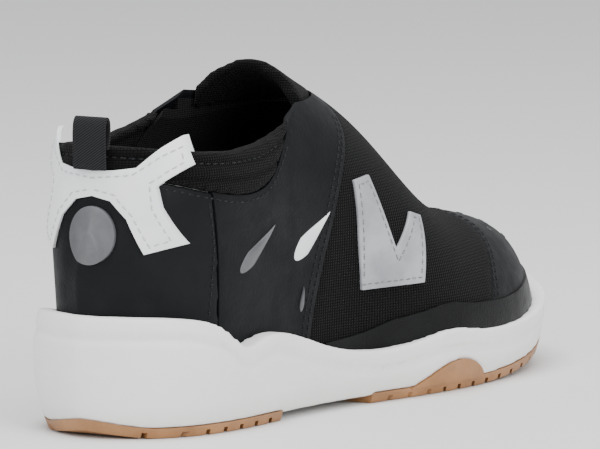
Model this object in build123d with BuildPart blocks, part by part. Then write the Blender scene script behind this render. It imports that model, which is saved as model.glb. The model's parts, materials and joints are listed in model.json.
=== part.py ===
from build123d import *

import os

# Right court shoe: cupped foam midsole, gum outsoles and a laceless bootie upper.
#
# X runs from heel to toe, Y towards the inner (medial) side of the foot, Z up.
# The origin is on the ground, under the middle of the shoe's length and width.
# The upper is a set of thin layers of one lofted form: each layer lies between two
# depths below the panels' outer face and is cut to its outline seen from the side,
# from behind or from above.

# Driving dimensions, mm
length = 280.0                  # heel to toe, over the midsole
y_middle = -3.0                 # middle of the width: the outer side flares further
half_length = length / 2

sidewall = 4.5                  # midsole wall outside the upper
panel = 1.6                     # outer panels
backing = 1.8                   # stiffeners and foam behind the panels
lining = 1.3                    # textile lining
overlay = 1.2                   # welded overlays, proud of the panels
board = 1.5                     # lasting board
sockliner_foam = 4.0
sockliner_ease = 2.6            # between the sockliner's edge and the lining
rubber = 3.5                    # outsole thickness
collar_puff = 0.8               # the padded collar stands proud by this

clearance = 0.3                 # round loose pieces
tongue_gap = 0.9                # round the moving tongue

tread_depth = 1.8
tread_width = 1.8
tread_pitch = 9.0
tread_zigzag = 4.0
tread_step = 9.0

reach = 90.0                    # half-length of the cutters across the shoe
sky = 170.0                     # above everything
deep = -20.0                    # below everything
run_out = 20.0                  # cutters run this far past the heel and the toe
plan_level = 60.0               # outlines seen from above are cut from here up
pad_level = 40.0                # above both outsole pads

# Depths below the panels' outer face
skin = 0.0
under_panel = panel
under_backing = panel + backing
inside = under_backing + lining

# Stations along the shoe: distance from the heel, outer and inner edge of the sole,
# then the upper's widest height, shoulder height, ridge height and shoulder ratio.
stations = [
    (1.0, -6.0, 6.0, 52.0, 62.0, 70.0, 0.72),
    (5.0, -16.0, 16.0, 56.0, 80.0, 96.0, 0.76),
    (13.0, -26.5, 26.0, 60.0, 97.0, 122.0, 0.82),
    (26.0, -34.0, 33.5, 62.0, 103.0, 132.0, 0.88),
    (45.0, -38.0, 37.0, 62.0, 105.0, 136.0, 0.89),
    (80.0, -39.0, 35.5, 60.0, 103.0, 133.0, 0.86),
    (115.0, -42.5, 37.0, 56.0, 97.0, 116.5, 0.78),
    (150.0, -50.0, 44.0, 46.0, 80.0, 99.0, 0.70),
    (185.0, -54.0, 48.5, 36.0, 57.0, 70.0, 0.72),
    (215.0, -52.5, 47.5, 31.0, 49.5, 58.5, 0.75),
    (240.0, -44.5, 43.0, 29.5, 46.0, 54.0, 0.76),
    (258.0, -33.0, 37.0, 28.5, 40.5, 47.0, 0.76),
    (271.0, -18.0, 29.0, 26.0, 33.0, 38.0, 0.75),
    (277.5, -5.0, 21.0, 24.5, 28.5, 31.5, 0.74),
]
toe_tip_y = 8.0
full_inset_from = 30.0          # half-widths above this are inset by the full amount
last_foot = 2.0                 # the upper's form starts here, inside the sole

# Heights of the sole along the shoe: distance from the heel, height
footbed = [(-4, 23), (50, 22), (120, 16), (190, 13.5), (240, 17), (284, 26)]
sidewall_top = [
    (-6, 41.5), (18, 41), (34, 36.5), (47, 28.8), (56, 30.6), (68, 31.2), (95, 24),
    (125, 18.9), (148, 20.5), (163, 22.6), (180, 20.9), (205, 20.3), (235, 23),
    (262, 27.5), (286, 35),
]
heel_bevel_x = 14.0
heel_bevel_rise = 8.4          # at the end of the ground line, past the heel
toe_spring_x = 175.0
toe_spring_rise = 14.0
ground_past = 6.0               # the ground line runs this far past both ends
heel_pad = (1.0, 72.0)          # outsole pads, from and to
fore_pad = (124.0, 279.0)
heel_tread = (5.0, 69.0)        # their grooved parts
fore_tread = (127.0, 274.0)
arch_lift = 2.5                 # the bare foam between the pads clears the ground
sole_levels = [(-1.0, 3.5), (13.0, 0.0), (48.0, 2.2)]   # height, inset

# Outlines seen from the side: distance from the heel, height
rim = [(-8, 101), (12, 99.5), (35, 96.5), (60, 96.5), (85, 102), (100, 110), (114, 126)]
panel_top = [
    (-8, 92), (12, 89), (30, 84), (50, 80.5), (66, 83), (78, 93), (90, 106), (101, 126),
]
saddle_front = [(137, 128), (132, 105), (114, 83), (104, 60), (98, 38), (93, 5)]
heel_seam = [(33, 125), (34, 84), (38, 60), (36, 5)]
toe_seam = [(216, 90), (212, 58), (196, 36), (184, 5)]
tongue_top = [(97, 85), (109, 135)]

throat_rear = 92.0              # opening of the instep, seen from above
throat_back = 52.0              # its straight sides run back to here
throat_front = 135.0
throat_round = 11.2             # length of its rounded front
throat_rear_half = 24.0
throat_front_half = 14.0

puck_length = 46.0              # cushion under the heel
puck_width = 36.0
puck_height = 7.0
puck_x = 38.0
puck_z = 9.0
shank_from = 72.0
shank_to = 132.0
shank_width = 34.0
shank_height = 1.6
shank_z = 8.0
shank_corner = 11.0

wrap_curve = [                  # rubber that climbs the outer wall at the ball
    (143, 3.0), (153, 6.8), (167, 11), (178, 8.8), (185, 3.0),
]
wrap_sunk = 2.2
wrap_proud = 0.6

counter_to = 62.0               # heel stiffener: how far forward and how high
counter_top = 66.0
puff_from = 222.0               # toe stiffener starts here
lining_seam = 118.0
toe_end = 262.0                 # the toe's inner layers stop here
foam_to = 140.0                 # quarter foam: how far forward and how high
foam_top = 79.0
gusset_from = 96.0

cage_arm = [                    # half of the forked heel overlay, seen from behind
    (0, 91), (-8, 91.5), (-15, 92.5), (-21, 99), (-25.5, 103), (-29, 93),
    (-21, 86), (-22.5, 79), (-28, 66), (-18.5, 63), (-13, 75), (-7, 81), (0, 82.5),
]
cage_reach = 30.0               # how far forward the overlays behind the heel go

patch_width = 18.0
patch_height = 20.0
patch_z = 69.0

tab_width = 14.0                # pull tab at the back of the collar
tab_thickness = 2.4
tab_root = (92.0, 97.6)         # its stitched root, from and to
tab_root_depth = 17.0           # the root is cut from the part behind this, from the heel
tab_root_proud = 2.4
tab_foot = 99.2                 # the loose part, from and to
tab_top = 110.0
tab_corner = 3.5
tab_face = 9.1                  # the collar's back at the hinge, from the heel

fork_lateral = [                # two-stroke overlay on the forefoot's side
    (121, 40), (151, 40), (157, 63), (150, 65), (138, 53), (128, 80), (118, 79), (119, 58),
]
slots = [(58.0, 59.0), (91.0, 60.0)]    # small slanted insets on the quarters
slot_length = 21.0
slot_width = 7.0
slot_slant = 32.0
tongue_patch_x = 117.0
tongue_patch_y = 11.0
tongue_patch_size = (16.0, 9.0)
gusset_width = 9.0


def along(x):
    """Distance from the heel to the shoe's own X."""
    return x - half_length


def placed(points):
    """Side-view points, from distance along the shoe to the shoe's own X."""
    return [(along(x), z) for x, z in points]


def raised(points, rise):
    """Side-view points moved up."""
    return [(x, z + rise) for x, z in points]


def inset_station(x, outer, inner, depth):
    """A station moved inwards by depth: X, middle and half-width."""
    middle = (outer + inner) / 2 - y_middle
    half = (inner - outer) / 2
    half -= depth * min(1.0, half / full_inset_from)
    return along(x) * (1 - depth / half_length), middle, half


def last_form(depth):
    """The upper's solid form, depth below its outer face, lofted heel to toe."""
    with BuildPart() as form:
        for x, outer, inner, z_wide, z_shoulder, z_ridge, ratio in stations:
            place, middle, half = inset_station(x, outer, inner, sidewall + depth)
            drop = depth * min(1.0, half / full_inset_from)
            with BuildSketch(Plane.YZ.offset(place)):
                with BuildLine():
                    Spline(
                        (middle - half, last_foot),
                        (middle - half, z_wide),
                        (middle - half * ratio, z_shoulder - drop),
                        (middle, z_ridge - drop),
                        (middle + half * ratio, z_shoulder - drop),
                        (middle + half, z_wide),
                        (middle + half, last_foot),
                    )
                    Line((middle + half, last_foot), (middle - half, last_foot))
                make_face()
        loft()
    return form.part


def outline(inset):
    """Points of the sole's outline seen from above, moved inwards: heel, outer side, toe, inner."""
    outer_side = []
    inner_side = []
    for x, outer, inner, *_ in stations:
        place, middle, half = inset_station(x, outer, inner, inset)
        outer_side.append((place, middle - half))
        inner_side.append((place, middle + half))
    scale_x = 1 - inset / half_length
    heel = (-half_length * scale_x, -y_middle)
    toe = (half_length * scale_x, toe_tip_y - y_middle)
    return [heel, *outer_side, toe, *reversed(inner_side)]


def sole_form(depth):
    """The sole's solid form, depth inside its side wall, lofted upwards."""
    with BuildPart() as form:
        for height, draft in sole_levels:
            with BuildSketch(Plane.XY.offset(height)):
                with BuildLine():
                    Spline(*outline(depth + draft), periodic=True)
                make_face()
        loft()
    return form.part


def ground_line(rise):
    """The sole's lower outline in the side view: heel bevel, flat, toe spring."""
    flat_from = (along(heel_bevel_x), rise)
    flat_to = (along(toe_spring_x), rise)
    TangentArc(flat_from, (along(-ground_past), heel_bevel_rise + rise), tangent=(-1, 0))
    Line(flat_from, flat_to)
    toe_run = length - toe_spring_x
    past = length + ground_past
    spring = toe_spring_rise * ((past - toe_spring_x) / toe_run) ** 2
    TangentArc(flat_to, (along(past), spring + rise), tangent=(1, 0))
    return (along(-ground_past), heel_bevel_rise + rise), (along(past), spring + rise)


def above_ground(rise, top):
    """Everything between the raised ground line and a level, across the shoe."""
    with BuildPart() as region:
        with BuildSketch(Plane.XZ):
            with BuildLine():
                rear, front = ground_line(rise)
                Polyline(rear, (rear[0], top), (front[0], top), front)
            make_face()
        extrude(amount=reach, both=True)
    return region.part


def under(points, floor=deep):
    """Everything below a side-view curve."""
    curve = placed(points)
    with BuildPart() as region:
        with BuildSketch(Plane.XZ):
            with BuildLine():
                Spline(*curve)
                Polyline(curve[0], (curve[0][0], floor), (curve[-1][0], floor), curve[-1])
            make_face()
        extrude(amount=reach, both=True)
    return region.part


def above(points):
    """Everything above a side-view curve, up to its last point."""
    curve = placed(points)
    with BuildPart() as region:
        with BuildSketch(Plane.XZ):
            with BuildLine():
                Spline(*curve)
                Polyline(curve[0], (curve[0][0], sky), (curve[-1][0], sky), curve[-1])
            make_face()
        extrude(amount=reach, both=True)
    return region.part


def ahead(points):
    """Everything in front of a side-view curve that runs from the top down."""
    curve = placed(points)
    front = along(length + run_out)
    with BuildPart() as region:
        with BuildSketch(Plane.XZ):
            with BuildLine():
                Spline(*curve)
                Polyline(
                    curve[-1], (curve[-1][0], deep), (front, deep), (front, sky),
                    (curve[0][0], sky), curve[0],
                )
            make_face()
        extrude(amount=reach, both=True)
    return region.part


def slab(x_from, x_to, z_from, z_to):
    """A block across the shoe between two stations and two heights."""
    with BuildPart() as region:
        with BuildSketch(Plane.XY.offset(z_from)):
            with Locations((along((x_from + x_to) / 2), 0)):
                Rectangle(x_to - x_from, 2 * reach)
        extrude(amount=z_to - z_from)
    return region.part


def throat(margin):
    """The opening over the instep, seen from above, widened by a margin."""
    rear = along(throat_back)
    front = along(throat_front)
    with BuildPart() as region:
        with BuildSketch(Plane.XY.offset(plan_level)):
            with BuildLine():
                Spline(
                    (rear, throat_rear_half + margin),
                    (along(throat_rear), throat_rear_half + margin),
                    (front - throat_round, throat_front_half + margin),
                    (front + margin, 0),
                    (front - throat_round, -throat_front_half - margin),
                    (along(throat_rear), -throat_rear_half - margin),
                    (rear, -throat_rear_half - margin),
                )
                Line((rear, -throat_rear_half - margin), (rear, throat_rear_half + margin))
            make_face()
        extrude(amount=sky)
    return region.part


# Shared forms
on_board = under(raised(footbed, board))
below_footbed = under(footbed)
above_rim = above(rim)
above_panel_top = above(panel_top)
before_saddle = ahead(saddle_front)
before_heel_seam = ahead(heel_seam)
before_toe_seam = ahead(toe_seam)
instep = throat(0.0)
sole = sole_form(0.0)

tab_proud = collar_puff + tab_root_proud
depths = (-tab_proud, -overlay, -collar_puff, skin, under_panel, under_backing, inside)
forms = {depth: last_form(depth) for depth in depths}


def standing(depth):
    """One form of the upper, from the lasting board up to the rim."""
    with BuildPart() as form:
        add(forms[depth])
        add(on_board, mode=Mode.SUBTRACT)
        add(above_rim, mode=Mode.SUBTRACT)
    return form.part


stands = {
    depth: standing(depth) for depth in (-overlay, -collar_puff, skin, under_panel, under_backing)
}

# Sole
heel_region = slab(-run_out, heel_pad[1], deep, pad_level)
fore_region = slab(fore_pad[0], length + run_out, deep, pad_level)
above_rubber = above_ground(rubber, sky)
above_tread = above_ground(tread_depth, sky)
above_floor = above_ground(0.0, sky)

with BuildPart() as wrap_hump:
    with BuildSketch(Plane.XZ):
        with BuildLine():
            Spline(*placed(wrap_curve))
            Line(*placed([wrap_curve[-1], wrap_curve[0]]))
        make_face()
    extrude(amount=reach)

wrap_outer = sole_form(-wrap_proud)
wrap_inner = sole_form(wrap_sunk)

with BuildPart() as wrap:
    add(wrap_outer)
    add(wrap_inner, mode=Mode.SUBTRACT)
    add(wrap_hump.part, mode=Mode.INTERSECT)
    add(above_floor, mode=Mode.INTERSECT)


def tread_grooves(x_from, x_to):
    """Zigzag grooves across the sole, cut up to the tread depth."""
    steps = int(2 * reach / tread_step)
    rows = int((x_to - x_from) / tread_pitch)
    with BuildPart() as grooves:
        for row in range(rows):
            x = along(x_from + (row + 0.5) * tread_pitch)
            zigzag = [
                (x + tread_zigzag * (step % 2), -reach + step * tread_step)
                for step in range(steps + 1)
            ]
            with BuildSketch(Plane.XY.offset(deep)):
                with BuildLine():
                    Polyline(*zigzag)
                trace(line_width=tread_width)
            extrude(amount=sky)
        add(above_tread, mode=Mode.SUBTRACT)
    return grooves.part


heel_grooves = tread_grooves(*heel_tread)
fore_grooves = tread_grooves(*fore_tread)

with BuildPart() as heel_pad_form:
    add(sole)
    add(above_floor, mode=Mode.INTERSECT)
    add(above_rubber, mode=Mode.SUBTRACT)
    add(heel_region, mode=Mode.INTERSECT)

with BuildPart() as fore_pad_form:
    add(sole)
    add(above_floor, mode=Mode.INTERSECT)
    add(above_rubber, mode=Mode.SUBTRACT)
    add(fore_region, mode=Mode.INTERSECT)
    add(wrap.part)

with BuildPart() as outsole_heel:
    add(heel_pad_form.part)
    add(heel_grooves, mode=Mode.SUBTRACT)

with BuildPart() as outsole_forefoot:
    add(fore_pad_form.part)
    add(fore_grooves, mode=Mode.SUBTRACT)

with BuildPart() as heel_cushion:
    with BuildSketch(Plane.XY.offset(puck_z)):
        with Locations((along(puck_x), -y_middle)):
            Ellipse(puck_length / 2, puck_width / 2)
    extrude(amount=puck_height)

with BuildPart() as arch_shank:
    with BuildSketch(Plane.XY.offset(shank_z)):
        with Locations((along((shank_from + shank_to) / 2), -y_middle)):
            RectangleRounded(shank_to - shank_from, shank_width, shank_corner)
    extrude(amount=shank_height)

with BuildPart() as foot_cup:
    add(forms[skin])
    add(below_footbed, mode=Mode.SUBTRACT)

with BuildPart() as midsole:
    add(sole)
    add(above_ground(arch_lift, sky), mode=Mode.INTERSECT)
    add(under(sidewall_top), mode=Mode.INTERSECT)
    for taken in (foot_cup, heel_pad_form, fore_pad_form, heel_cushion, arch_shank):
        add(taken.part, mode=Mode.SUBTRACT)

with BuildPart() as lasting_board:
    add(forms[skin])
    add(on_board, mode=Mode.INTERSECT)
    add(below_footbed, mode=Mode.SUBTRACT)

with BuildPart() as sockliner:
    with BuildSketch(Plane.XY):
        with BuildLine():
            Spline(*outline(sidewall + inside + clearance + sockliner_ease), periodic=True)
        make_face()
    extrude(amount=sole_levels[-1][0])
    add(under(raised(footbed, board + sockliner_foam)), mode=Mode.INTERSECT)
    add(on_board, mode=Mode.SUBTRACT)

# Outer panels
with BuildPart() as heel_cover:
    add(stands[skin])
    add(before_heel_seam, mode=Mode.SUBTRACT)
    add(above_panel_top, mode=Mode.SUBTRACT)
    add(forms[under_panel], mode=Mode.SUBTRACT)

with BuildPart() as saddle:
    add(stands[skin])
    add(before_heel_seam, mode=Mode.INTERSECT)
    add(before_saddle, mode=Mode.SUBTRACT)
    add(above_panel_top, mode=Mode.SUBTRACT)
    add(instep, mode=Mode.SUBTRACT)
    add(forms[under_panel], mode=Mode.SUBTRACT)

with BuildPart() as quarter_lateral:
    add(saddle.part)
    split(bisect_by=Plane.XZ, keep=Keep.TOP)

with BuildPart() as quarter_medial:
    add(saddle.part)
    split(bisect_by=Plane.XZ, keep=Keep.BOTTOM)

with BuildPart() as vamp:
    add(stands[skin])
    add(before_saddle, mode=Mode.INTERSECT)
    add(before_toe_seam, mode=Mode.SUBTRACT)
    add(instep, mode=Mode.SUBTRACT)
    add(forms[under_panel], mode=Mode.SUBTRACT)

with BuildPart() as toe_cap:
    add(stands[skin])
    add(before_toe_seam, mode=Mode.INTERSECT)
    add(forms[under_panel], mode=Mode.SUBTRACT)

# Between the layers
with BuildPart() as heel_counter:
    add(stands[under_panel])
    add(slab(-run_out, counter_to, deep, counter_top), mode=Mode.INTERSECT)
    add(forms[under_backing], mode=Mode.SUBTRACT)

with BuildPart() as heel_foam:
    add(stands[under_panel])
    add(slab(-run_out, counter_to, counter_top, sky), mode=Mode.INTERSECT)
    add(above_panel_top, mode=Mode.SUBTRACT)
    add(forms[under_backing], mode=Mode.SUBTRACT)

with BuildPart() as quarter_foam:
    add(stands[under_panel])
    add(slab(counter_to, foam_to, deep, foam_top), mode=Mode.INTERSECT)
    add(forms[under_backing], mode=Mode.SUBTRACT)

with BuildPart() as toe_puff:
    add(stands[under_panel])
    add(slab(puff_from, toe_end, deep, sky), mode=Mode.INTERSECT)
    add(forms[under_backing], mode=Mode.SUBTRACT)

with BuildPart() as elastic_gusset:
    add(stands[under_panel])
    add(throat(gusset_width - clearance), mode=Mode.INTERSECT)
    add(slab(gusset_from, length, foam_top + clearance, sky), mode=Mode.INTERSECT)
    add(above_panel_top, mode=Mode.SUBTRACT)
    add(instep, mode=Mode.SUBTRACT)
    add(forms[under_backing], mode=Mode.SUBTRACT)

with BuildPart() as quarter_lining:
    add(stands[under_backing])
    add(slab(-run_out, lining_seam, deep, sky), mode=Mode.INTERSECT)
    add(above_panel_top, mode=Mode.SUBTRACT)
    add(instep, mode=Mode.SUBTRACT)
    add(forms[inside], mode=Mode.SUBTRACT)

with BuildPart() as vamp_lining:
    add(stands[under_backing])
    add(slab(lining_seam, toe_end, deep, sky), mode=Mode.INTERSECT)
    add(instep, mode=Mode.SUBTRACT)
    add(forms[inside], mode=Mode.SUBTRACT)

# Collar and tongue
with BuildPart() as collar:
    add(stands[-collar_puff])
    add(above_panel_top, mode=Mode.INTERSECT)
    add(instep, mode=Mode.SUBTRACT)
    add(forms[inside], mode=Mode.SUBTRACT)

with BuildPart() as tongue:
    add(forms[skin])
    add(throat(-tongue_gap), mode=Mode.INTERSECT)
    add(ahead(list(reversed(tongue_top))), mode=Mode.INTERSECT)
    add(forms[inside], mode=Mode.SUBTRACT)

with BuildPart() as tongue_patch:
    add(forms[-overlay])
    with BuildSketch(Plane.XY.offset(plan_level)):
        with Locations((along(tongue_patch_x), tongue_patch_y)):
            Ellipse(tongue_patch_size[0] / 2, tongue_patch_size[1] / 2)
    extrude(amount=sky, mode=Mode.INTERSECT)
    add(forms[skin], mode=Mode.SUBTRACT)

# Overlays
behind = Plane(origin=(along(-run_out), -y_middle, 0), x_dir=(0, 1, 0), z_dir=(1, 0, 0))

with BuildPart() as heel_cage:
    add(forms[-overlay])
    with BuildSketch(behind):
        with BuildLine():
            Polyline(*cage_arm)
            mirror(about=Plane.YZ)
        make_face()
    extrude(amount=run_out + cage_reach, mode=Mode.INTERSECT)
    add(forms[skin], mode=Mode.SUBTRACT)
    add(collar.part, mode=Mode.SUBTRACT)

with BuildPart() as heel_patch:
    add(forms[-overlay])
    with BuildSketch(behind):
        with Locations((0, patch_z)):
            Ellipse(patch_width / 2, patch_height / 2)
    extrude(amount=run_out + cage_reach, mode=Mode.INTERSECT)
    add(forms[skin], mode=Mode.SUBTRACT)

with BuildPart() as forefoot_fork_lateral:
    add(forms[-overlay])
    with BuildSketch(Plane.XZ):
        with BuildLine():
            Polyline(*placed(fork_lateral), close=True)
        make_face()
    extrude(amount=reach, mode=Mode.INTERSECT)
    add(forms[skin], mode=Mode.SUBTRACT)

with BuildPart() as forefoot_fork_medial:
    add(forms[-overlay])
    with BuildSketch(Plane.XZ):
        with BuildLine():
            Polyline(*placed(fork_lateral), close=True)
        make_face()
    extrude(amount=-reach, mode=Mode.INTERSECT)
    add(forms[skin], mode=Mode.SUBTRACT)

with BuildPart() as side_slots:
    add(forms[-overlay])
    with BuildSketch(Plane.XZ):
        for x, z in slots:
            with Locations(Location((along(x), z, 0), (0, 0, slot_slant))):
                SlotOverall(slot_length, slot_width)
    extrude(amount=reach, both=True, mode=Mode.INTERSECT)
    add(forms[skin], mode=Mode.SUBTRACT)

# Pull tab
with BuildPart() as pull_tab_root:
    add(forms[-tab_proud])
    with BuildSketch(Plane.XY.offset(tab_root[0])):
        with Locations((along(0), -y_middle)):
            Rectangle(2 * tab_root_depth, tab_width)
    extrude(amount=tab_root[1] - tab_root[0], mode=Mode.INTERSECT)
    add(forms[-collar_puff], mode=Mode.SUBTRACT)

with BuildPart() as pull_tab:
    with BuildSketch(Plane.YZ.offset(along(tab_face - clearance - tab_thickness))):
        with Locations((-y_middle, (tab_foot + tab_top) / 2)):
            RectangleRounded(tab_width, tab_top - tab_foot, tab_corner)
    extrude(amount=tab_thickness)

pieces = {
    "midsole": midsole,
    "outsole_heel": outsole_heel,
    "outsole_forefoot": outsole_forefoot,
    "heel_cushion": heel_cushion,
    "arch_shank": arch_shank,
    "lasting_board": lasting_board,
    "sockliner": sockliner,
    "heel_cover": heel_cover,
    "quarter_lateral": quarter_lateral,
    "quarter_medial": quarter_medial,
    "vamp": vamp,
    "toe_cap": toe_cap,
    "heel_counter": heel_counter,
    "heel_foam": heel_foam,
    "quarter_foam": quarter_foam,
    "toe_puff": toe_puff,
    "elastic_gusset": elastic_gusset,
    "quarter_lining": quarter_lining,
    "vamp_lining": vamp_lining,
    "collar": collar,
    "tongue": tongue,
    "tongue_patch": tongue_patch,
    "heel_cage": heel_cage,
    "heel_patch": heel_patch,
    "forefoot_fork_lateral": forefoot_fork_lateral,
    "forefoot_fork_medial": forefoot_fork_medial,
    "side_slots": side_slots,
    "pull_tab_root": pull_tab_root,
    "pull_tab": pull_tab,
}

os.makedirs("parts", exist_ok=True)
for name, piece in pieces.items():
    piece.part.label = name
    export_step(piece.part, f"parts/{name}.step")
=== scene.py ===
import json
import math

import bpy
from mathutils import Matrix, Vector
from mathutils.bvhtree import BVHTree

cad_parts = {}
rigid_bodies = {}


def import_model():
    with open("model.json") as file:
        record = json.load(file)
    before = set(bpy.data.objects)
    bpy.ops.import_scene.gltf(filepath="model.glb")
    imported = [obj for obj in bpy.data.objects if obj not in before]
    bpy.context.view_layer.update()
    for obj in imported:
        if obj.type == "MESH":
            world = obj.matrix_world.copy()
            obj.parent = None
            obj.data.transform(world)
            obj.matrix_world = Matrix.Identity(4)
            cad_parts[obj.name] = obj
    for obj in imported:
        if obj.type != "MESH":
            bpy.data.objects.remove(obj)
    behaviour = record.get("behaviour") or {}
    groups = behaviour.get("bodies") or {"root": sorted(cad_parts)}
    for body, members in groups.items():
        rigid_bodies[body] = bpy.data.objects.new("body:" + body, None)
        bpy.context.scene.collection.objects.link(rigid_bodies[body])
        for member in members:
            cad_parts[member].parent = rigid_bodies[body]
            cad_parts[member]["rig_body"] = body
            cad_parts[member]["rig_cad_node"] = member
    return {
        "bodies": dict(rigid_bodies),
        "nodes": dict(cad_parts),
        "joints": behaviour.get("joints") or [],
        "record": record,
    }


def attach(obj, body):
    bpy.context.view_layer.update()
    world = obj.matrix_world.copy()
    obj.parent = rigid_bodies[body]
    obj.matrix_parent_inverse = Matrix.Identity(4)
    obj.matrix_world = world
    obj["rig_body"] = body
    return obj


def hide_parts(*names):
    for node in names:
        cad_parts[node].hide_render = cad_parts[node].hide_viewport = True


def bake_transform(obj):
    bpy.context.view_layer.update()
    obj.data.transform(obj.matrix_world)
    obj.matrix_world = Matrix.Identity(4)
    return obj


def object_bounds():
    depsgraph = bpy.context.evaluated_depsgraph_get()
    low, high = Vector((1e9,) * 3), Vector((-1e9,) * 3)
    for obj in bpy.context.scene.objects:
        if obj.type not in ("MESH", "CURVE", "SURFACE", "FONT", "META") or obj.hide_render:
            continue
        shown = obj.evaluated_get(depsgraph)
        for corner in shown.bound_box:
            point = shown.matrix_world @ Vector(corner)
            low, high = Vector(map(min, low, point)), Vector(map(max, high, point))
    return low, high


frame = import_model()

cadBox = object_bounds()
nodes = frame["nodes"]
mm = 0.001


# small helpers

def deselectAll():
    if bpy.context.object and bpy.context.object.mode != "OBJECT":
        bpy.ops.object.mode_set(mode="OBJECT")
    bpy.ops.object.select_all(action="DESELECT")


def pick(piece):
    deselectAll()
    piece.select_set(True)
    bpy.context.view_layer.objects.active = piece


def applyAll(piece):
    pick(piece)
    for name in [m.name for m in piece.modifiers]:
        bpy.ops.object.modifier_apply(modifier=name)


def settle(piece):
    # leave the object at the origin, with its place in its mesh
    pick(piece)
    bpy.ops.object.transform_apply(location=True, rotation=True, scale=True)


def join(parts, name):
    deselectAll()
    for part in parts:
        part.select_set(True)
    bpy.context.view_layer.objects.active = parts[0]
    if len(parts) > 1:
        bpy.ops.object.join()
    piece = bpy.context.object
    piece.name = name
    piece.data.name = name
    return piece


def copyOf(nodeNames, name):
    # a merged copy of one or more CAD nodes, in their own place
    copies = []
    for nodeName in nodeNames:
        copy = nodes[nodeName].copy()
        copy.data = nodes[nodeName].data.copy()
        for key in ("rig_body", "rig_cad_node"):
            if key in copy:
                del copy[key]
        copy.parent = None
        bpy.context.scene.collection.objects.link(copy)
        copy.hide_viewport = copy.hide_render = False
        copy.hide_set(False)
        copies.append(copy)
    piece = join(copies, name)
    pick(piece)
    bpy.ops.object.mode_set(mode="EDIT")
    bpy.ops.mesh.select_all(action="SELECT")
    bpy.ops.mesh.remove_doubles(threshold=0.00001)
    bpy.ops.object.mode_set(mode="OBJECT")
    return piece


def roundOver(piece, voxel, smoothing, factor=0.5):
    # close the shape and round its cut edges, as pressed foam or turned leather
    pick(piece)
    remesh = piece.modifiers.new("remesh", "REMESH")
    remesh.mode = "VOXEL"
    remesh.voxel_size = voxel
    remesh.use_smooth_shade = True
    if smoothing:
        smooth = piece.modifiers.new("smooth", "SMOOTH")
        smooth.factor = factor
        smooth.iterations = smoothing
    applyAll(piece)
    bpy.ops.object.shade_smooth()
    return piece


def trimEdge(piece, width, segments=2, sharp=40.0):
    # a cut sheet: only its edges are rounded
    pick(piece)
    edge = piece.modifiers.new("edge", "BEVEL")
    edge.width = width
    edge.segments = segments
    edge.limit_method = "ANGLE"
    edge.angle_limit = math.radians(sharp)
    applyAll(piece)
    bpy.ops.object.shade_smooth_by_angle(angle=math.radians(sharp))
    return piece


def dress(piece, material, body="shoe", stands=()):
    piece.data.materials.clear()
    piece.data.materials.append(material)
    if body:
        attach(piece, body)
    if stands:
        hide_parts(*stands)
    return piece


# materials

def newMaterial(name):
    material = bpy.data.materials.new(name)
    material.use_nodes = True
    tree = material.node_tree
    return material, tree, tree.nodes["Principled BSDF"]


def addNode(tree, kind, **values):
    node = tree.nodes.new(kind)
    for key, value in values.items():
        if hasattr(node, key):
            setattr(node, key, value)
        else:
            node.inputs[key.replace("_", " ")].default_value = value
    return node


def objectPoint(tree, scale=(1, 1, 1), turn=(0, 0, 0)):
    coords = addNode(tree, "ShaderNodeTexCoord")
    mapping = addNode(tree, "ShaderNodeMapping")
    mapping.inputs["Scale"].default_value = scale
    mapping.inputs["Rotation"].default_value = turn
    tree.links.new(coords.outputs["Object"], mapping.inputs["Vector"])
    return mapping.outputs["Vector"]


def ramp(tree, source, stops):
    node = addNode(tree, "ShaderNodeValToRGB")
    elements = node.color_ramp.elements
    while len(elements) < len(stops):
        elements.new(0.5)
    for element, (place, colour) in zip(elements, stops):
        element.position = place
        element.color = (*colour, 1)
    tree.links.new(source, node.inputs["Fac"])
    return node.outputs["Color"]


def bump(tree, shader, heights):
    # one Bump node after another, each from its own height source
    normal = None
    for source, distance, strength in heights:
        node = addNode(tree, "ShaderNodeBump")
        node.inputs["Distance"].default_value = distance
        node.inputs["Strength"].default_value = strength
        tree.links.new(source, node.inputs["Height"])
        if normal:
            tree.links.new(normal, node.inputs["Normal"])
        normal = node.outputs["Normal"]
    tree.links.new(normal, shader.inputs["Normal"])


def noise(tree, point, scale, detail=3.0, roughness=0.5):
    node = addNode(tree, "ShaderNodeTexNoise")
    node.inputs["Scale"].default_value = scale
    node.inputs["Detail"].default_value = detail
    node.inputs["Roughness"].default_value = roughness
    tree.links.new(point, node.inputs["Vector"])
    return node.outputs["Fac"]


def cells(tree, point, scale, feature="F1"):
    node = addNode(tree, "ShaderNodeTexVoronoi", feature=feature)
    node.inputs["Scale"].default_value = scale
    tree.links.new(point, node.inputs["Vector"])
    return node.outputs["Distance"]


def ribs(tree, point, scale, distortion=0.0, direction="X", detail=0.0):
    node = addNode(tree, "ShaderNodeTexWave", wave_type="BANDS", bands_direction=direction)
    node.inputs["Scale"].default_value = scale
    node.inputs["Distortion"].default_value = distortion
    node.inputs["Detail"].default_value = detail
    tree.links.new(point, node.inputs["Vector"])
    return node.outputs["Fac"]


def multiply(tree, a, b):
    node = addNode(tree, "ShaderNodeMath", operation="MULTIPLY")
    tree.links.new(a, node.inputs[0])
    tree.links.new(b, node.inputs[1])
    return node.outputs[0]


def leather(name, dark, light, roughness, grain=900.0):
    material, tree, shader = newMaterial(name)
    point = objectPoint(tree)
    shade = noise(tree, point, 55.0, 4.0)
    tree.links.new(ramp(tree, shade, [(0.3, dark), (0.7, light)]), shader.inputs["Base Color"])
    wear = noise(tree, point, 130.0, 5.0, 0.6)
    tree.links.new(
        ramp(tree, wear, [(0.3, (roughness - 0.07,) * 3), (0.75, (roughness + 0.1,) * 3)]),
        shader.inputs["Roughness"],
    )
    shader.inputs["Specular IOR Level"].default_value = 0.14
    bump(tree, shader, [
        (cells(tree, point, grain), 0.0002, 0.35),
        (noise(tree, point, 240.0, 3.0), 0.0004, 0.25),
    ])
    return material


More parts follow.
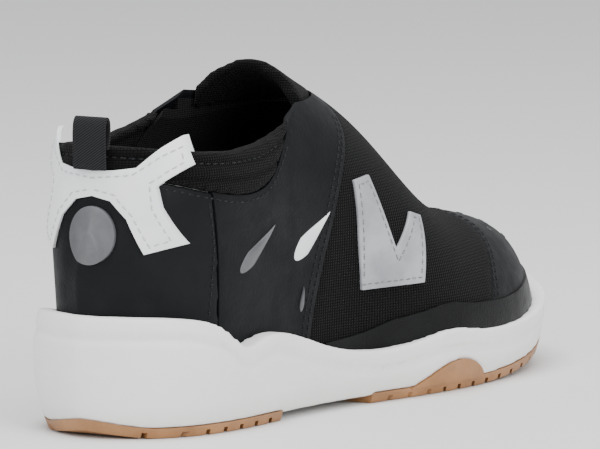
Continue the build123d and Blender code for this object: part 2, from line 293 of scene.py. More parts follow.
def facing(tree, axis):
    # 1 where the surface faces along an axis of the piece, 0 where it lies along it
    coords = addNode(tree, "ShaderNodeTexCoord")
    split = addNode(tree, "ShaderNodeSeparateXYZ")
    tree.links.new(coords.outputs["Normal"], split.inputs["Vector"])
    size = addNode(tree, "ShaderNodeMath", operation="ABSOLUTE")
    tree.links.new(split.outputs[axis], size.inputs[0])
    band = addNode(tree, "ShaderNodeMapRange", interpolation_type="SMOOTHSTEP")
    band.inputs["From Min"].default_value = 0.62
    band.inputs["From Max"].default_value = 0.74
    tree.links.new(size.outputs[0], band.inputs["Value"])
    return band.outputs["Result"]


def either(tree, share, a, b):
    node = addNode(tree, "ShaderNodeMix", data_type="FLOAT")
    tree.links.new(share, node.inputs[0])
    tree.links.new(a, node.inputs[2])
    tree.links.new(b, node.inputs[3])
    return node.outputs[0]


def knit(name, dark, light, pitch, roughness=0.85):
    material, tree, shader = newMaterial(name)
    point = objectPoint(tree)
    lengthwise = ribs(tree, point, pitch, 0.0, "X")
    upwards = ribs(tree, point, pitch * 1.25, 0.0, "Z")
    sideways = ribs(tree, point, pitch, 0.0, "Y")
    columns = either(tree, facing(tree, "X"), lengthwise, sideways)
    rows = either(tree, facing(tree, "Z"), upwards, sideways)
    weave = multiply(tree, columns, rows)
    tree.links.new(ramp(tree, weave, [(0.05, dark), (0.8, light)]), shader.inputs["Base Color"])
    shader.inputs["Roughness"].default_value = roughness
    shader.inputs["Sheen Weight"].default_value = 0.03
    shader.inputs["Sheen Roughness"].default_value = 0.5
    shader.inputs["Specular IOR Level"].default_value = 0.12
    bump(tree, shader, [
        (weave, 0.0007, 0.8),
        (noise(tree, point, 900.0, 2.0), 0.0003, 0.4),
    ])
    return material


def foam(name, light, dark, nearFloorShadeColour):
    material, tree, shader = newMaterial(name)
    point = objectPoint(tree)
    patches = noise(tree, point, 28.0, 4.0, 0.6)
    base = ramp(tree, patches, [(0.25, dark), (0.65, light)])
    # painted shade: from 11 mm above the floor down to 1 mm, the foam is mixed in patches towards a
    # darker brown
    split = addNode(tree, "ShaderNodeSeparateXYZ")
    tree.links.new(point, split.inputs["Vector"])
    low = addNode(tree, "ShaderNodeMapRange")
    low.inputs["From Min"].default_value = 0.001
    low.inputs["From Max"].default_value = 0.011
    low.inputs["To Min"].default_value = 0.55
    low.inputs["To Max"].default_value = 0.0
    tree.links.new(split.outputs["Z"], low.inputs["Value"])
    paintedNearFloorShade = multiply(tree, low.outputs["Result"], noise(tree, point, 90.0, 6.0, 0.65))
    mix = addNode(tree, "ShaderNodeMix", data_type="RGBA")
    tree.links.new(paintedNearFloorShade, mix.inputs["Factor"])
    tree.links.new(base, mix.inputs["A"])
    mix.inputs["B"].default_value = (*nearFloorShadeColour, 1)
    tree.links.new(mix.outputs["Result"], shader.inputs["Base Color"])
    shader.inputs["Roughness"].default_value = 0.62
    shader.inputs["Subsurface Weight"].default_value = 0.04
    shader.inputs["Subsurface Radius"].default_value = (0.004, 0.0035, 0.003)
    bump(tree, shader, [
        (cells(tree, point, 700.0), 0.00015, 0.3),
        (noise(tree, point, 60.0, 3.0), 0.0006, 0.15),
    ])
    return material


def gum(name):
    material, tree, shader = newMaterial(name)
    point = objectPoint(tree)
    patches = noise(tree, point, 45.0, 4.0, 0.6)
    tree.links.new(
        ramp(tree, patches, [(0.25, (0.21, 0.095, 0.034)), (0.7, (0.43, 0.21, 0.083))]),
        shader.inputs["Base Color"],
    )
    tree.links.new(
        ramp(tree, noise(tree, point, 120.0, 5.0), [(0.3, (0.42,) * 3), (0.7, (0.62,) * 3)]),
        shader.inputs["Roughness"],
    )
    bump(tree, shader, [(noise(tree, point, 700.0, 2.0), 0.00015, 0.35)])
    return material


def film(name, light, dark, roughness):
    material, tree, shader = newMaterial(name)
    point = objectPoint(tree)
    patches = noise(tree, point, 70.0, 4.0, 0.55)
    tree.links.new(ramp(tree, patches, [(0.3, dark), (0.65, light)]), shader.inputs["Base Color"])
    shader.inputs["Roughness"].default_value = roughness
    shader.inputs["Coat Weight"].default_value = 0.15
    shader.inputs["Coat Roughness"].default_value = 0.3
    bump(tree, shader, [
        (cells(tree, point, 1100.0), 0.0001, 0.35),
        (noise(tree, point, 180.0, 2.0), 0.0003, 0.2),
    ])
    return material


def tape(name, dark, light):
    material, tree, shader = newMaterial(name)
    point = objectPoint(tree)
    twill = ribs(tree, objectPoint(tree, turn=(0.6, 0, 0)), 420.0, 0.4, "Z")
    tree.links.new(ramp(tree, twill, [(0.1, dark), (0.8, light)]), shader.inputs["Base Color"])
    shader.inputs["Roughness"].default_value = 0.8
    shader.inputs["Sheen Weight"].default_value = 0.05
    shader.inputs["Specular IOR Level"].default_value = 0.2
    bump(tree, shader, [(twill, 0.0004, 0.7), (noise(tree, point, 900.0), 0.0002, 0.3)])
    return material


quarterLeather = leather("quarterLeather", (0.0028, 0.0035, 0.0042), (0.0055, 0.0067, 0.008), 0.54)
toeLeather = leather("toeLeather", (0.0025, 0.0027, 0.003), (0.006, 0.0064, 0.007), 0.46, 1100.0)
randFilm = leather("randFilm", (0.002, 0.0022, 0.0024), (0.005, 0.0053, 0.0057), 0.38, 1500.0)
vampMesh = knit("vampMesh", (0.0006, 0.0006, 0.0007), (0.0040, 0.0042, 0.0046), 260.0)
collarKnit = knit("collarKnit", (0.0005, 0.0005, 0.0006), (0.0034, 0.0036, 0.0039), 300.0)
liningMesh = knit("liningMesh", (0.002, 0.002, 0.0023), (0.008, 0.008, 0.009), 340.0)
sockKnit = knit("sockKnit", (0.004, 0.004, 0.0045), (0.016, 0.016, 0.018), 420.0)
# its last colour is the painted shade near the floor
midsoleFoam = foam("midsoleFoam", (0.90, 0.90, 0.89), (0.84, 0.84, 0.83), (0.42, 0.37, 0.30))
gumRubber = gum("gumRubber")
whiteFilm = film("whiteFilm", (0.90, 0.91, 0.92), (0.80, 0.82, 0.84), 0.38)
greyFilm = film("greyFilm", (0.40, 0.41, 0.43), (0.26, 0.27, 0.29), 0.40)
patchFilm = film("patchFilm", (0.115, 0.12, 0.127), (0.065, 0.068, 0.073), 0.44)
darkFilm = film("darkFilm", (0.05, 0.053, 0.057), (0.03, 0.032, 0.035), 0.42)
webbing = tape("webbing", (0.002, 0.002, 0.0025), (0.018, 0.019, 0.021))
thread = tape("thread", (0.004, 0.0045, 0.005), (0.020, 0.022, 0.024))
paleThread = tape("paleThread", (0.50, 0.51, 0.52), (0.74, 0.75, 0.76))
greyThread = tape("greyThread", (0.15, 0.155, 0.16), (0.30, 0.31, 0.32))
hiddenSheet = film("hiddenSheet", (0.46, 0.46, 0.45), (0.40, 0.40, 0.39), 0.6)
print("materials made")

finishes = {
    "outsole_heel": gumRubber, "outsole_forefoot": gumRubber, "sockliner": sockKnit,
    "quarter_lining": liningMesh, "vamp_lining": liningMesh, "elastic_gusset": liningMesh,
    "lasting_board": hiddenSheet, "heel_counter": hiddenSheet, "toe_puff": hiddenSheet,
    "heel_foam": hiddenSheet, "quarter_foam": hiddenSheet, "heel_cushion": hiddenSheet,
    "arch_shank": hiddenSheet,
}
for nodeName, material in finishes.items():
    for materialSlot in nodes[nodeName].material_slots:
        materialSlot.material = material


# lines on the shoe, as distance from the heel and height, in millimetres

halfLength = 140.0
lines = {
    "sidewallTop": [
        (-6, 41.5), (18, 41), (34, 36.5), (47, 28.8), (56, 30.6), (68, 31.2), (95, 24), (125, 18.9),
        (148, 20.5), (163, 22.6), (180, 20.9), (205, 20.3), (235, 23), (262, 27.5), (286, 35),
    ],
    "panelTop": [(-8, 92), (12, 89), (30, 84), (50, 80.5), (66, 83), (78, 93), (90, 106), (101, 126)],
    "rim": [(-8, 101), (12, 99.5), (35, 96.5), (60, 96.5), (85, 102), (100, 110), (114, 126)],
    "saddleFront": [(93, 5), (98, 38), (104, 60), (114, 83), (132, 105), (137, 128)],
    "heelSeam": [(36, 5), (38, 60), (34, 84), (33, 125)],
    "toeSeam": [(184, 5), (196, 36), (212, 58), (216, 90)],
}


def placed(point):
    return ((point[0] - halfLength) * mm, point[1] * mm)


def between(points, value, key, wanted):
    # a smooth curve through the points, read as a graph of one coordinate over the other
    points = [placed(p) for p in points]
    last = len(points) - 1
    for index in range(last):
        a, b = points[index], points[index + 1]
        if value <= b[key] or index == last - 1:
            t = (value - a[key]) / (b[key] - a[key])
            before = points[max(index - 1, 0)][wanted]
            after = points[min(index + 2, last)][wanted]
            p, q = a[wanted], b[wanted]
            slopeIn = (q - before) / 2
            slopeOut = (after - p) / 2
            return (
                (2 * t**3 - 3 * t**2 + 1) * p + (t**3 - 2 * t**2 + t) * slopeIn
                + (3 * t**2 - 2 * t**3) * q + (t**3 - t**2) * slopeOut
            )


def heightOf(line, x):
    return between(lines[line], x, 0, 1)


def placeOf(line, z):
    return between(lines[line], z, 1, 0)


tableReach = 150                                 # millimetres to each side of the middle


def tableOf(line):
    # a line's height at every millimetre of the shoe, for loops over many points
    return [heightOf(line, step * mm) for step in range(-tableReach, tableReach + 1)]


def lookUp(table, x):
    step = min(max(x / mm + tableReach, 0), 2 * tableReach - 1)
    low = int(step)
    return table[low] + (table[low + 1] - table[low]) * (step - low)


def skinOf(pieces):
    # one ray-casting tree for each piece
    depsgraph = bpy.context.evaluated_depsgraph_get()
    return [BVHTree.FromObject(piece, depsgraph) for piece in pieces]


def castOn(skin, origin, direction):
    # the first face met on any piece of the skin
    hits = [tree.ray_cast(origin, direction) for tree in skin]
    hits = [hit for hit in hits if hit[0] is not None]
    if not hits:
        return None, None
    nearest = min(hits, key=lambda hit: hit[3])
    return nearest[0], nearest[1]


# rays that look for a seam start outside the shoe, and a few tries settle where they meet it
seekSizes = {
    "tries": 5, "hoopOutside": 0.15, "bandOutside": 0.2,
    "axisY": 0.001, "axisZ": 0.030, "firstReach": 0.03, "bandFirstReach": 0.04, "lowest": 0.005,
}


def hoopPoint(skin, line, shift, angle):
    # where a seam that runs over the shoe is, seen round a lengthwise axis
    ray = Vector((0, math.sin(angle), math.cos(angle)))
    z = seekSizes["axisZ"] + seekSizes["firstReach"] * ray.z
    for step in range(seekSizes["tries"]):
        x = placeOf(line, max(z, seekSizes["lowest"])) + shift
        start = Vector((x, seekSizes["axisY"], seekSizes["axisZ"])) + ray * seekSizes["hoopOutside"]
        hit, normal = castOn(skin, start, -ray)
        if hit is None:
            return None
        z = hit.z
    return hit, normal


def bandPoint(skin, line, shift, angle, centre):
    # where a line that runs round the heel is, seen round an upright axis
    ray = Vector((-math.cos(angle), math.sin(angle), 0))
    x = centre[0] + ray.x * seekSizes["bandFirstReach"]
    for step in range(seekSizes["tries"]):
        z = heightOf(line, x) + shift
        start = Vector((centre[0], centre[1], z)) + ray * seekSizes["bandOutside"]
        hit, normal = castOn(skin, start, -ray)
        if hit is None:
            return None
        x = hit.x
    return hit, normal


def evenly(points, pitch):
    # points of a path, a pitch apart, with their normals and directions
    made = []
    carried = 0.0
    for (a, normalA), (b, normalB) in zip(points, points[1:]):
        run = (b - a).length
        while carried < run:
            t = carried / run
            made.append((a.lerp(b, t), normalA.lerp(normalB, t).normalized(), (b - a).normalized()))
            carried += pitch
        carried -= run
    return made


def scatter(model, places, name, lift=0.0):
    # copies of one small model, its X along the path and its Z out of the surface
    copies = []
    for point, normal, along in places:
        side = normal.cross(along).normalized()
        along = side.cross(normal)
        copy = model.copy()
        copy.data = model.data.copy()
        bpy.context.scene.collection.objects.link(copy)
        spin = Matrix((along, side, normal)).transposed().to_4x4()
        copy.data.transform(Matrix.Translation(point + normal * lift) @ spin)
        copies.append(copy)
    return join(copies, name)


# midsole
midsoleSizes = {
    "voxel": 1.0 * mm, "smoothing": 5,
    "grooveBelowTop": 7.0 * mm, "grooveWidth": 1.3 * mm, "grooveDepth": 1.1 * mm,
    "grooveTo": 0.105, "grooveFade": 0.05,       # it fades out towards the toe
    "wallFrom": 2 * mm, "wallTo": 14 * mm,       # only this band below the top edge is touched
    "steep": 0.5,
}
midsole = copyOf(["midsole"], "midsoleUnit")
roundOver(midsole, midsoleSizes["voxel"], midsoleSizes["smoothing"])
wallTable = tableOf("sidewallTop")
for vertex in midsole.data.vertices:
    x, z = vertex.co.x, vertex.co.z
    below = lookUp(wallTable, x) - z
    if abs(vertex.normal.z) > midsoleSizes["steep"]:
        continue
    if not midsoleSizes["wallFrom"] <= below <= midsoleSizes["wallTo"]:
        continue
    near = (below - midsoleSizes["grooveBelowTop"]) / midsoleSizes["grooveWidth"]
    fade = min(1.0, max(0.0, (midsoleSizes["grooveTo"] - x) / midsoleSizes["grooveFade"]))
    vertex.co -= vertex.normal * midsoleSizes["grooveDepth"] * math.exp(-near * near) * fade
dress(midsole, midsoleFoam, "shoe", ["midsole"])
print("midsole")

# panels of the upper
panelSizes = {
    "voxel": 0.75 * mm, "heelSmoothing": 16, "toeSmoothing": 8, "edge": 0.45 * mm,
}
panels = {
    "heel_cover": copyOf(["heel_cover"], "heelCoverPanel"),
    "quarter_lateral": copyOf(["quarter_lateral"], "outerQuarterPanel"),
    "quarter_medial": copyOf(["quarter_medial"], "innerQuarterPanel"),
    "vamp": copyOf(["vamp"], "vampPanel"),
    "toe_cap": copyOf(["toe_cap"], "toeCapPanel"),
}
roundOver(panels["heel_cover"], panelSizes["voxel"], panelSizes["heelSmoothing"])
roundOver(panels["toe_cap"], panelSizes["voxel"], panelSizes["toeSmoothing"])
for nodeName in ("quarter_lateral", "quarter_medial", "vamp"):
    trimEdge(panels[nodeName], panelSizes["edge"])
for nodeName in ("heel_cover", "quarter_lateral", "quarter_medial"):
    dress(panels[nodeName], quarterLeather, "shoe", [nodeName])
dress(panels["vamp"], vampMesh, "shoe", ["vamp"])
dress(panels["toe_cap"], toeLeather, "shoe", ["toe_cap"])
print("panels")

# overlays: welded film with a just rounded edge
overlaySizes = {"edge": 0.35 * mm, "sharp": 40.0}
overlayFilms = {
    "heel_cage": (whiteFilm, "overlay_white", "shoe"),
    "heel_patch": (patchFilm, "overlay_grey", "shoe"),
    "forefoot_fork_lateral": (greyFilm, "overlay_grey", "shoe"),
    "forefoot_fork_medial": (greyFilm, "overlay_grey", "shoe"),
    "tongue_patch": (whiteFilm, "overlay_white", "tongue"),
}
overlays = {}
for nodeName, (material, slotName, body) in overlayFilms.items():
    overlay = copyOf([nodeName], nodeName + "Film")
    trimEdge(overlay, overlaySizes["edge"], 2, overlaySizes["sharp"])
    overlays[nodeName] = dress(overlay, material, body, [nodeName])
print("overlays")

# collar and tongue: padded knit, sewn along their edges and channels
padSizes = {
    "collar": {"voxel": 1.5 * mm, "pressure": 2.5, "cap": 1.3 * mm, "channels": (4.0 * mm, 9.5 * mm)},
    "tongue": {"voxel": 1.6 * mm, "pressure": 2.5, "cap": 1.2 * mm, "channels": ()},
    "channelWidth": 0.9 * mm, "channelDepth": 0.8 * mm, "channelReach": 3, "frames": 16,
    "smoothing": 3, "level": 0.75,               # faces more level than this get no channel
    "weight": 0.15, "stiffness": 12,             # of the cloth
}


def puff(piece, pressure, cap, frames):
    # cloth blows the pad up a little, and no point moves further than the cap
    before = [vertex.co.copy() for vertex in piece.data.vertices]
    pick(piece)
    cloth = piece.modifiers.new("cloth", "CLOTH")
    cloth.settings.quality = 4
    cloth.settings.mass = padSizes["weight"]
    cloth.settings.tension_stiffness = padSizes["stiffness"]
    cloth.settings.compression_stiffness = padSizes["stiffness"]
    cloth.settings.use_pressure = True
    cloth.settings.uniform_pressure_force = pressure
    cloth.settings.effector_weights.gravity = 0
    cloth.collision_settings.use_collision = False
    cloth.point_cache.frame_start = 1
    cloth.point_cache.frame_end = frames
    for frame in range(1, frames + 1):
        bpy.context.scene.frame_set(frame)
    bpy.ops.object.modifier_apply(modifier="cloth")
    for vertex, start in zip(piece.data.vertices, before):
        move = vertex.co - start
        if move.length > cap:
            vertex.co = start + move * (cap / move.length)
    bpy.context.scene.frame_set(1)


def makePad(nodeName, pieceName):
    sizes = padSizes[nodeName]
    pad = roundOver(copyOf([nodeName], pieceName), sizes["voxel"], padSizes["smoothing"])
    puff(pad, sizes["pressure"], sizes["cap"], padSizes["frames"])
    rounding = pad.modifiers.new("rounding", "SUBSURF")
    rounding.levels = rounding.render_levels = 1
    applyAll(pad)
    rimTable = tableOf("rim")
    for vertex in pad.data.vertices:
        below = lookUp(rimTable, vertex.co.x) - vertex.co.z
        if abs(vertex.normal.z) > padSizes["level"]:
            continue
        for channel in sizes["channels"]:
            near = (below - channel) / padSizes["channelWidth"]
            if abs(near) < padSizes["channelReach"]:
                vertex.co -= vertex.normal * padSizes["channelDepth"] * math.exp(-near * near)
    bpy.ops.object.shade_smooth()
    return pad


collar = makePad("collar", "collarPad")
dress(collar, collarKnit, "shoe", ["collar"])
tongue = makePad("tongue", "tonguePad")
dress(tongue, collarKnit, "tongue", ["tongue"])
print("collar and tongue")

# rand: the film round the foot of the forefoot
randSizes = {
    "voxel": 0.8 * mm, "smoothing": 3, "proud": 0.7 * mm, "sharp": 40.0,
    "from": 104.0, "to": 284.0, "rise": 30.0,    # along the shoe: its ends, and where it is full height
    "start": 1.0, "height": 9.0,                 # above the midsole's edge
    "steps": 40, "halfWidth": 0.08, "below": -0.01,
}
rand = copyOf(["vamp", "toe_cap"], "randFilmStrip")
roundOver(rand, randSizes["voxel"], randSizes["smoothing"])
swell = rand.modifiers.new("swell", "DISPLACE")
swell.strength = randSizes["proud"]
swell.mid_level = 0.0
applyAll(rand)
deselectAll()
bpy.ops.mesh.primitive_plane_add(size=1.0)
cutter = bpy.context.object
randTop = []
for step in range(randSizes["steps"] + 1):
    run = (randSizes["to"] - randSizes["from"]) * step / randSizes["steps"]
    x = (randSizes["from"] + run - halfLength) * mm
    full = min(1.0, run / randSizes["rise"])
    above = randSizes["start"] + (randSizes["height"] - randSizes["start"]) * full
    randTop.append((x, heightOf("sidewallTop", x) + above * mm))
outline = [(randTop[-1][0], randSizes["below"]), (randTop[0][0], randSizes["below"])] + randTop
cutter.data.clear_geometry()
count = len(outline)
cutter.data.from_pydata(
    [(x, side * randSizes["halfWidth"], z) for side in (-1, 1) for x, z in outline],
    [],
    [list(range(count)), list(range(2 * count - 1, count - 1, -1))]
    + [[i, i + count, (i + 1) % count + count, (i + 1) % count] for i in range(count)],
)
pick(cutter)
bpy.ops.object.mode_set(mode="EDIT")
bpy.ops.mesh.select_all(action="SELECT")
bpy.ops.mesh.normals_make_consistent(inside=False)
bpy.ops.object.mode_set(mode="OBJECT")
cut = rand.modifiers.new("cut", "BOOLEAN")
cut.operation = "INTERSECT"
cut.object = cutter
cut.solver = "EXACT"
applyAll(rand)
bpy.data.objects.remove(cutter)
pick(rand)
bpy.ops.object.shade_smooth_by_angle(angle=math.radians(randSizes["sharp"]))
dress(rand, randFilm, "shoe")
print("rand")

# stitching
stitchSizes = {
    "pitch": 3.1 * mm, "length": 2.3 * mm, "width": 0.62 * mm, "height": 0.5 * mm,
    "lift": 0.05 * mm, "filmLift": 0.02 * mm,    # above leather and knit, and above film
    "hoopSteps": 60, "bandSteps": 160, "filmSteps": 12,
    "hoopReach": 100.0, "belowTopline": 2 * mm, "aboveSole": 1.5 * mm,
}
deselectAll()
bpy.ops.mesh.primitive_uv_sphere_add(segments=8, ring_count=5, radius=0.5)
stitchModel = bpy.context.object
stitchModel.data.transform(Matrix.Rotation(math.pi / 2, 4, "Y"))
stitchShape = (stitchSizes["length"], stitchSizes["width"], stitchSizes["height"], 1)
stitchModel.data.transform(Matrix.Diagonal(stitchShape))
bpy.ops.object.shade_smooth()

outerSkin = skinOf(panels.values())
collarSkin = skinOf([collar])
heelCentre = (-0.085, 0.003)                     # the rows round the heel turn about this
hoopRows = {
    "saddleStitchesOne": ("saddleFront", -2.2 * mm),
    "saddleStitchesTwo": ("saddleFront", -5.2 * mm),
    "heelSeamStitches": ("heelSeam", 2.4 * mm),
    "heelSeamStitchesRear": ("heelSeam", -2.4 * mm),
    "toeStitchesOne": ("toeSeam", 2.2 * mm),
    "toeStitchesTwo": ("toeSeam", 4.8 * mm),
}
for rowName, (line, shift) in hoopRows.items():
    places = []
    for side in (-1, 1):
        path = []
        for step in range(stitchSizes["hoopSteps"] + 1):
            angle = side * math.radians(stitchSizes["hoopReach"]) * (1 - step / stitchSizes["hoopSteps"])
            found = hoopPoint(outerSkin, line, shift, angle)
            high = low = False
            if found:
                x, z = found[0].x, found[0].z
                high = line == "heelSeam" and z > heightOf("panelTop", x) - stitchSizes["belowTopline"]
                low = z < heightOf("sidewallTop", x) + stitchSizes["aboveSole"]
            if found and not high and not low:
                path.append(found)
            elif path:
                break
        if len(path) > 2:
            places += evenly(path, stitchSizes["pitch"])
    rowPiece = scatter(stitchModel, places, rowName, stitchSizes["lift"])
    dress(rowPiece, thread, "shoe")
bandRows = {
    "toplineStitches": ("panelTop", -2.4 * mm, outerSkin, 128),
    "collarStitches": ("rim", -4.0 * mm, collarSkin, 118),
}
for rowName, (line, shift, skin, reach) in bandRows.items():
    path = []
    for step in range(stitchSizes["bandSteps"] + 1):
        angle = math.radians(reach) * (2 * step / stitchSizes["bandSteps"] - 1)
        found = bandPoint(skin, line, shift, angle, heelCentre)
        if found:
            path.append(found)
    rowPiece = scatter(stitchModel, evenly(path, stitchSizes["pitch"]), rowName, stitchSizes["lift"])
    dress(rowPiece, thread, "shoe")

# thread inside the edge of the heel cage, as half of it is seen from behind
cageRow = [
    (0, 88.6), (-14, 90.0), (-22.5, 96.8), (-25.6, 99.0), (-27.0, 94.0), (-19.2, 87.2),
    (-20.4, 78.6), (-25.2, 67.6), (-20.0, 65.6), (-14.8, 76.2), (-8.2, 83.2), (0, 84.8),
]
cageRowBehind, cageRowTo = -0.17, -0.105         # rays start here, and reach this far forward
# thread inside the edge of a forefoot fork, seen from the side
forkRow = [
    (121.5, 42), (149.2, 42), (154.6, 62), (151.6, 62.8), (138.2, 48.6), (126.6, 77.8),
    (120.2, 77.2), (121.0, 58), (121.5, 42),
]
forkRowAside = 0.15


def walk(points):
    # small steps along a run of straight strokes
    for (a1, b1), (a2, b2) in zip(points, points[1:]):
        for step in range(stitchSizes["filmSteps"]):
            share = step / stitchSizes["filmSteps"]
            yield a1 + (a2 - a1) * share, b1 + (b2 - b1) * share


cagePlaces = []
cageSkin = skinOf([overlays["heel_cage"]])
for side in (-1, 1):
    path = []
    for y, z in walk(cageRow):
        start = Vector((cageRowBehind, y * side * mm + heelCentre[1], z * mm))
        hit, normal = castOn(cageSkin, start, Vector((1, 0, 0)))
        if hit is not None and hit.x < cageRowTo:
            path.append((hit, normal))
    cagePlaces += evenly(path, stitchSizes["pitch"])
rowPiece = scatter(stitchModel, cagePlaces, "cageStitches", stitchSizes["filmLift"])
dress(rowPiece, paleThread, "shoe")
for forkName, side in (("forefoot_fork_lateral", -1), ("forefoot_fork_medial", 1)):
    path = []
    forkSkin = skinOf([overlays[forkName]])
    for x, z in walk(forkRow):
        start = Vector(((x - halfLength) * mm, side * forkRowAside, z * mm))
        hit, normal = castOn(forkSkin, start, Vector((0, -side, 0)))
        if hit is not None:
            path.append((hit, normal))
    forkPlaces = evenly(path, stitchSizes["pitch"])
    rowPiece = scatter(stitchModel, forkPlaces, forkName + "Stitches", stitchSizes["filmLift"])
    dress(rowPiece, greyThread, "shoe")
bpy.data.objects.remove(stitchModel)
print("stitching")

# side insets
insetSizes = {
    "length": 25.0 * mm, "width": 8.6 * mm, "height": 1.8 * mm, "slant": 36.0,
    "taper": 0.92, "taperFrom": -0.22, "taperCurve": 0.8,    # of a drop one unit long
    "tickLength": 9.0 * mm, "tickWidth": 2.58 * mm, "tickSlant": 84.0, "rearWidth": 7.052 * mm,
    "aside": 0.12, "above": 0.02,                            # where the rays to the panel start
}
tickLonger = insetSizes["tickLength"] / insetSizes["length"]
tickWider = insetSizes["tickWidth"] / insetSizes["width"]
rearWider = insetSizes["rearWidth"] / insetSizes["width"]
# distance from the heel, height, film, slant, and length and width against the model's
insetPlaces = {
    "Rear": (60.0, 61.0, patchFilm, insetSizes["slant"], 1.0, rearWider),
    "Front": (94.0, 62.0, whiteFilm, insetSizes["slant"], 1.0, 1.0),
    "Tick": (90.0, 40.0, patchFilm, insetSizes["tickSlant"], tickLonger, tickWider),
}
deselectAll()
bpy.ops.mesh.primitive_uv_sphere_add(segments=40, ring_count=20, radius=0.5)
dropModel = bpy.context.object
for vertex in dropModel.data.vertices:
    # a drop: round at its lower end, drawn out to a point at its upper end
    drawn = (vertex.co.x - insetSizes["taperFrom"]) / (0.5 - insetSizes["taperFrom"])
    vertex.co.y *= 1.0 - insetSizes["taper"] * min(1.0, max(0.0, drawn)) ** insetSizes["taperCurve"]
dropShape = (insetSizes["length"], insetSizes["width"], insetSizes["height"], 1)
dropModel.data.transform(Matrix.Diagonal(dropShape))
bpy.ops.object.shade_smooth()
for sideName, side in (("outer", -1), ("inner", 1)):
    for insetName, (x, z, material, slant, longer, wider) in insetPlaces.items():
        start = Vector(((x - halfLength) * mm, side * insetSizes["aside"], z * mm))
        hit, normal = castOn(outerSkin, start, Vector((0, -side, 0)))
        direction = Vector((math.cos(math.radians(slant)), 0, math.sin(math.radians(slant))))
        inset = scatter(dropModel, [(hit, normal, direction)], sideName + insetName + "Inset")
        for vertex in inset.data.vertices:
            # laid on the curved panel, keeping its own thickness
            offset = vertex.co - hit
            height = offset.dot(normal)
            run = offset - normal * height
            lengthwise = direction * run.dot(direction)
            run = lengthwise * longer + (run - lengthwise) * wider
            touch, _ = castOn(outerSkin, hit + run + normal * insetSizes["above"], -normal)
            if touch is not None:
                vertex.co = touch + normal * height
        dress(inset, material, "shoe", ["side_slots"])
bpy.data.objects.remove(dropModel)
print("insets")

# perforations over the toes
holeSizes = {
    "across": 1.9 * mm, "rim": 0.28 * mm, "rows": 4, "reach": 3, "from": 224.0, "pitch": 7.5,
    "turn": 11.0, "axisY": 0.004, "outside": 0.15,
}
deselectAll()
bpy.ops.mesh.primitive_torus_add(
    major_segments=12, minor_segments=5,
    major_radius=holeSizes["across"] / 2, minor_radius=holeSizes["rim"],
)
holeModel = bpy.context.object
bpy.ops.object.shade_smooth()
holePlaces = []
for row in range(holeSizes["rows"]):
    odd = row % 2                                # every other row is shorter and set half a step aside
    for column in range(odd - holeSizes["reach"], holeSizes["reach"] + 1):
        angle = math.radians(holeSizes["turn"] * (column - 0.5 * odd))
        x = (holeSizes["from"] + row * holeSizes["pitch"] - halfLength) * mm
        ray = Vector((0, math.sin(angle), math.cos(angle)))
        start = Vector((x, holeSizes["axisY"], 0.0)) + ray * holeSizes["outside"]
        hit, normal = castOn(outerSkin, start, -ray)
        holePlaces.append((hit, normal, Vector((1, 0, 0))))
holes = scatter(holeModel, holePlaces, "toePerforations")
dress(holes, darkFilm, "shoe")
bpy.data.objects.remove(holeModel)
print("perforations")

# pull tab: a folded loop of tape
tabSizes = {
    "width": 13.0 * mm, "thickness": 1.1 * mm, "edge": 0.35 * mm, "strips": 6, "sharp": 40.0,
    "middle": 0.003, "fold": -0.1324, "foldFrom": 0.0975, "foldTo": 0.1005,
    "outside": [(-134.0, 91.5), (-134.3, 95.0), (-134.4, 99.0), (-134.6, 103.5), (-134.2, 107.5)],
    "top": [(-132.9, 109.4), (-131.5, 108.4)],
    "inside": [(-131.2, 104.5), (-131.6, 100.6), (-132.6, 98.6)],
}
route = [(x * mm, z * mm) for x, z in tabSizes["outside"] + tabSizes["top"] + tabSizes["inside"]]
tabCurve = bpy.data.curves.new("tabCurve", "CURVE")
tabCurve.dimensions = "3D"
spline = tabCurve.splines.new("NURBS")
spline.points.add(len(route) - 1)
for point, (x, z) in zip(spline.points, route):
    point.co = (x, tabSizes["middle"], z, 1)
spline.order_u = 3
spline.use_endpoint_u = True
spline.resolution_u = 8
tabLine = bpy.data.objects.new("tabLine", tabCurve)
bpy.context.scene.collection.objects.link(tabLine)
pick(tabLine)
bpy.ops.object.convert(target="MESH")
bpy.ops.object.mode_set(mode="EDIT")
bpy.ops.mesh.select_all(action="SELECT")
bpy.ops.transform.translate(value=(0, -tabSizes["width"] / 2, 0))
stripWidth = tabSizes["width"] / tabSizes["strips"]
for strip in range(tabSizes["strips"]):
    bpy.ops.mesh.extrude_region_move(TRANSFORM_OT_translate={"value": (0, stripWidth, 0)})
bpy.ops.mesh.select_all(action="SELECT")
bpy.ops.mesh.normals_make_consistent(inside=False)
bpy.ops.object.mode_set(mode="OBJECT")
pullTab = bpy.context.object
pullTab.name = "pullTabLoop"
thick = pullTab.modifiers.new("thick", "SOLIDIFY")
thick.thickness = tabSizes["thickness"]
thick.offset = 0
soften = pullTab.modifiers.new("soften", "BEVEL")
soften.width = tabSizes["edge"]
soften.segments = 2
soften.limit_method = "ANGLE"
applyAll(pullTab)
bpy.ops.object.shade_smooth_by_angle(angle=math.radians(tabSizes["sharp"]))
dress(pullTab, webbing, None)
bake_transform(pullTab)
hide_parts("pull_tab", "pull_tab_root")
print("pull tab")

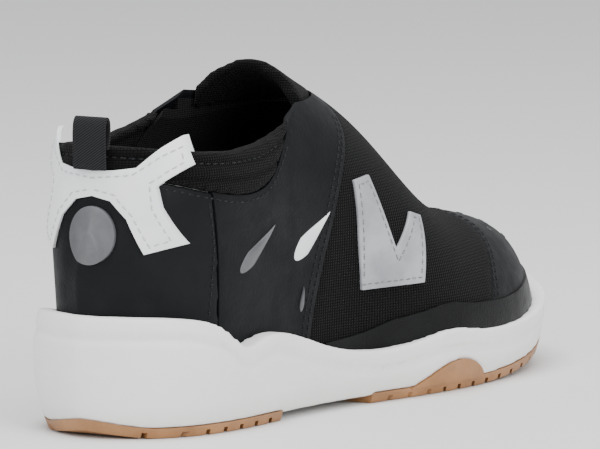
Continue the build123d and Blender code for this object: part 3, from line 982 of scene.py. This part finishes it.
# floor, light and camera
stageSizes = {"floor": 6.0, "azimuth": -59.0, "elevation": 7.0, "distance": 3.0, "frameWidth": 0.212}
deselectAll()
bpy.ops.mesh.primitive_plane_add(size=stageSizes["floor"], location=(0, 0, cadBox[0].z - 0.0002))
floor = bpy.context.object
floor.name = "paleFloor"
floorPaint, _, floorShader = newMaterial("paleFloor")
floorShader.inputs["Base Color"].default_value = (0.82, 0.82, 0.81, 1)
floorShader.inputs["Roughness"].default_value = 0.7
floor.data.materials.append(floorPaint)
settle(floor)

world = bpy.data.worlds.new("studio")
bpy.context.scene.world = world
world.use_nodes = True
world.node_tree.nodes["Background"].inputs["Color"].default_value = (0.96, 0.97, 1.0, 1)
world.node_tree.nodes["Background"].inputs["Strength"].default_value = 0.75


def softLight(name, place, target, size, power):
    light = bpy.data.lights.new(name, "AREA")
    light.shape = "RECTANGLE"
    light.size = size[0]
    light.size_y = size[1]
    light.energy = power
    lamp = bpy.data.objects.new(name, light)
    bpy.context.scene.collection.objects.link(lamp)
    lamp.location = place
    lamp.rotation_euler = (Vector(target) - Vector(place)).to_track_quat("-Z", "Y").to_euler()
    return lamp


middle = (Vector(cadBox[0]) + Vector(cadBox[1])) / 2
softLight("overhead", (-0.1, -0.1, 1.4), middle, (1.4, 1.0), 22)
softLight("fromOuterSide", (-0.6, -1.2, 0.7), middle, (0.9, 0.9), 13)
softLight("fromHeel", (-1.3, 0.3, 0.6), middle, (0.7, 0.9), 5)

turn = math.radians(stageSizes["azimuth"])
tilt = math.radians(stageSizes["elevation"])
lookFrom = Vector((math.sin(turn) * math.cos(tilt), -math.cos(turn) * math.cos(tilt), math.sin(tilt)))
target = middle + Vector((0.0, 0.0, -0.002))
cameraData = bpy.data.cameras.new("camera")
cameraData.sensor_width = 36.0
cameraData.lens = 36.0 * stageSizes["distance"] / stageSizes["frameWidth"]
camera = bpy.data.objects.new("camera", cameraData)
bpy.context.scene.collection.objects.link(camera)
camera.location = target + lookFrom * stageSizes["distance"]
camera.rotation_euler = (-lookFrom).to_track_quat("-Z", "Y").to_euler()
bpy.context.scene.camera = camera
print("stage")
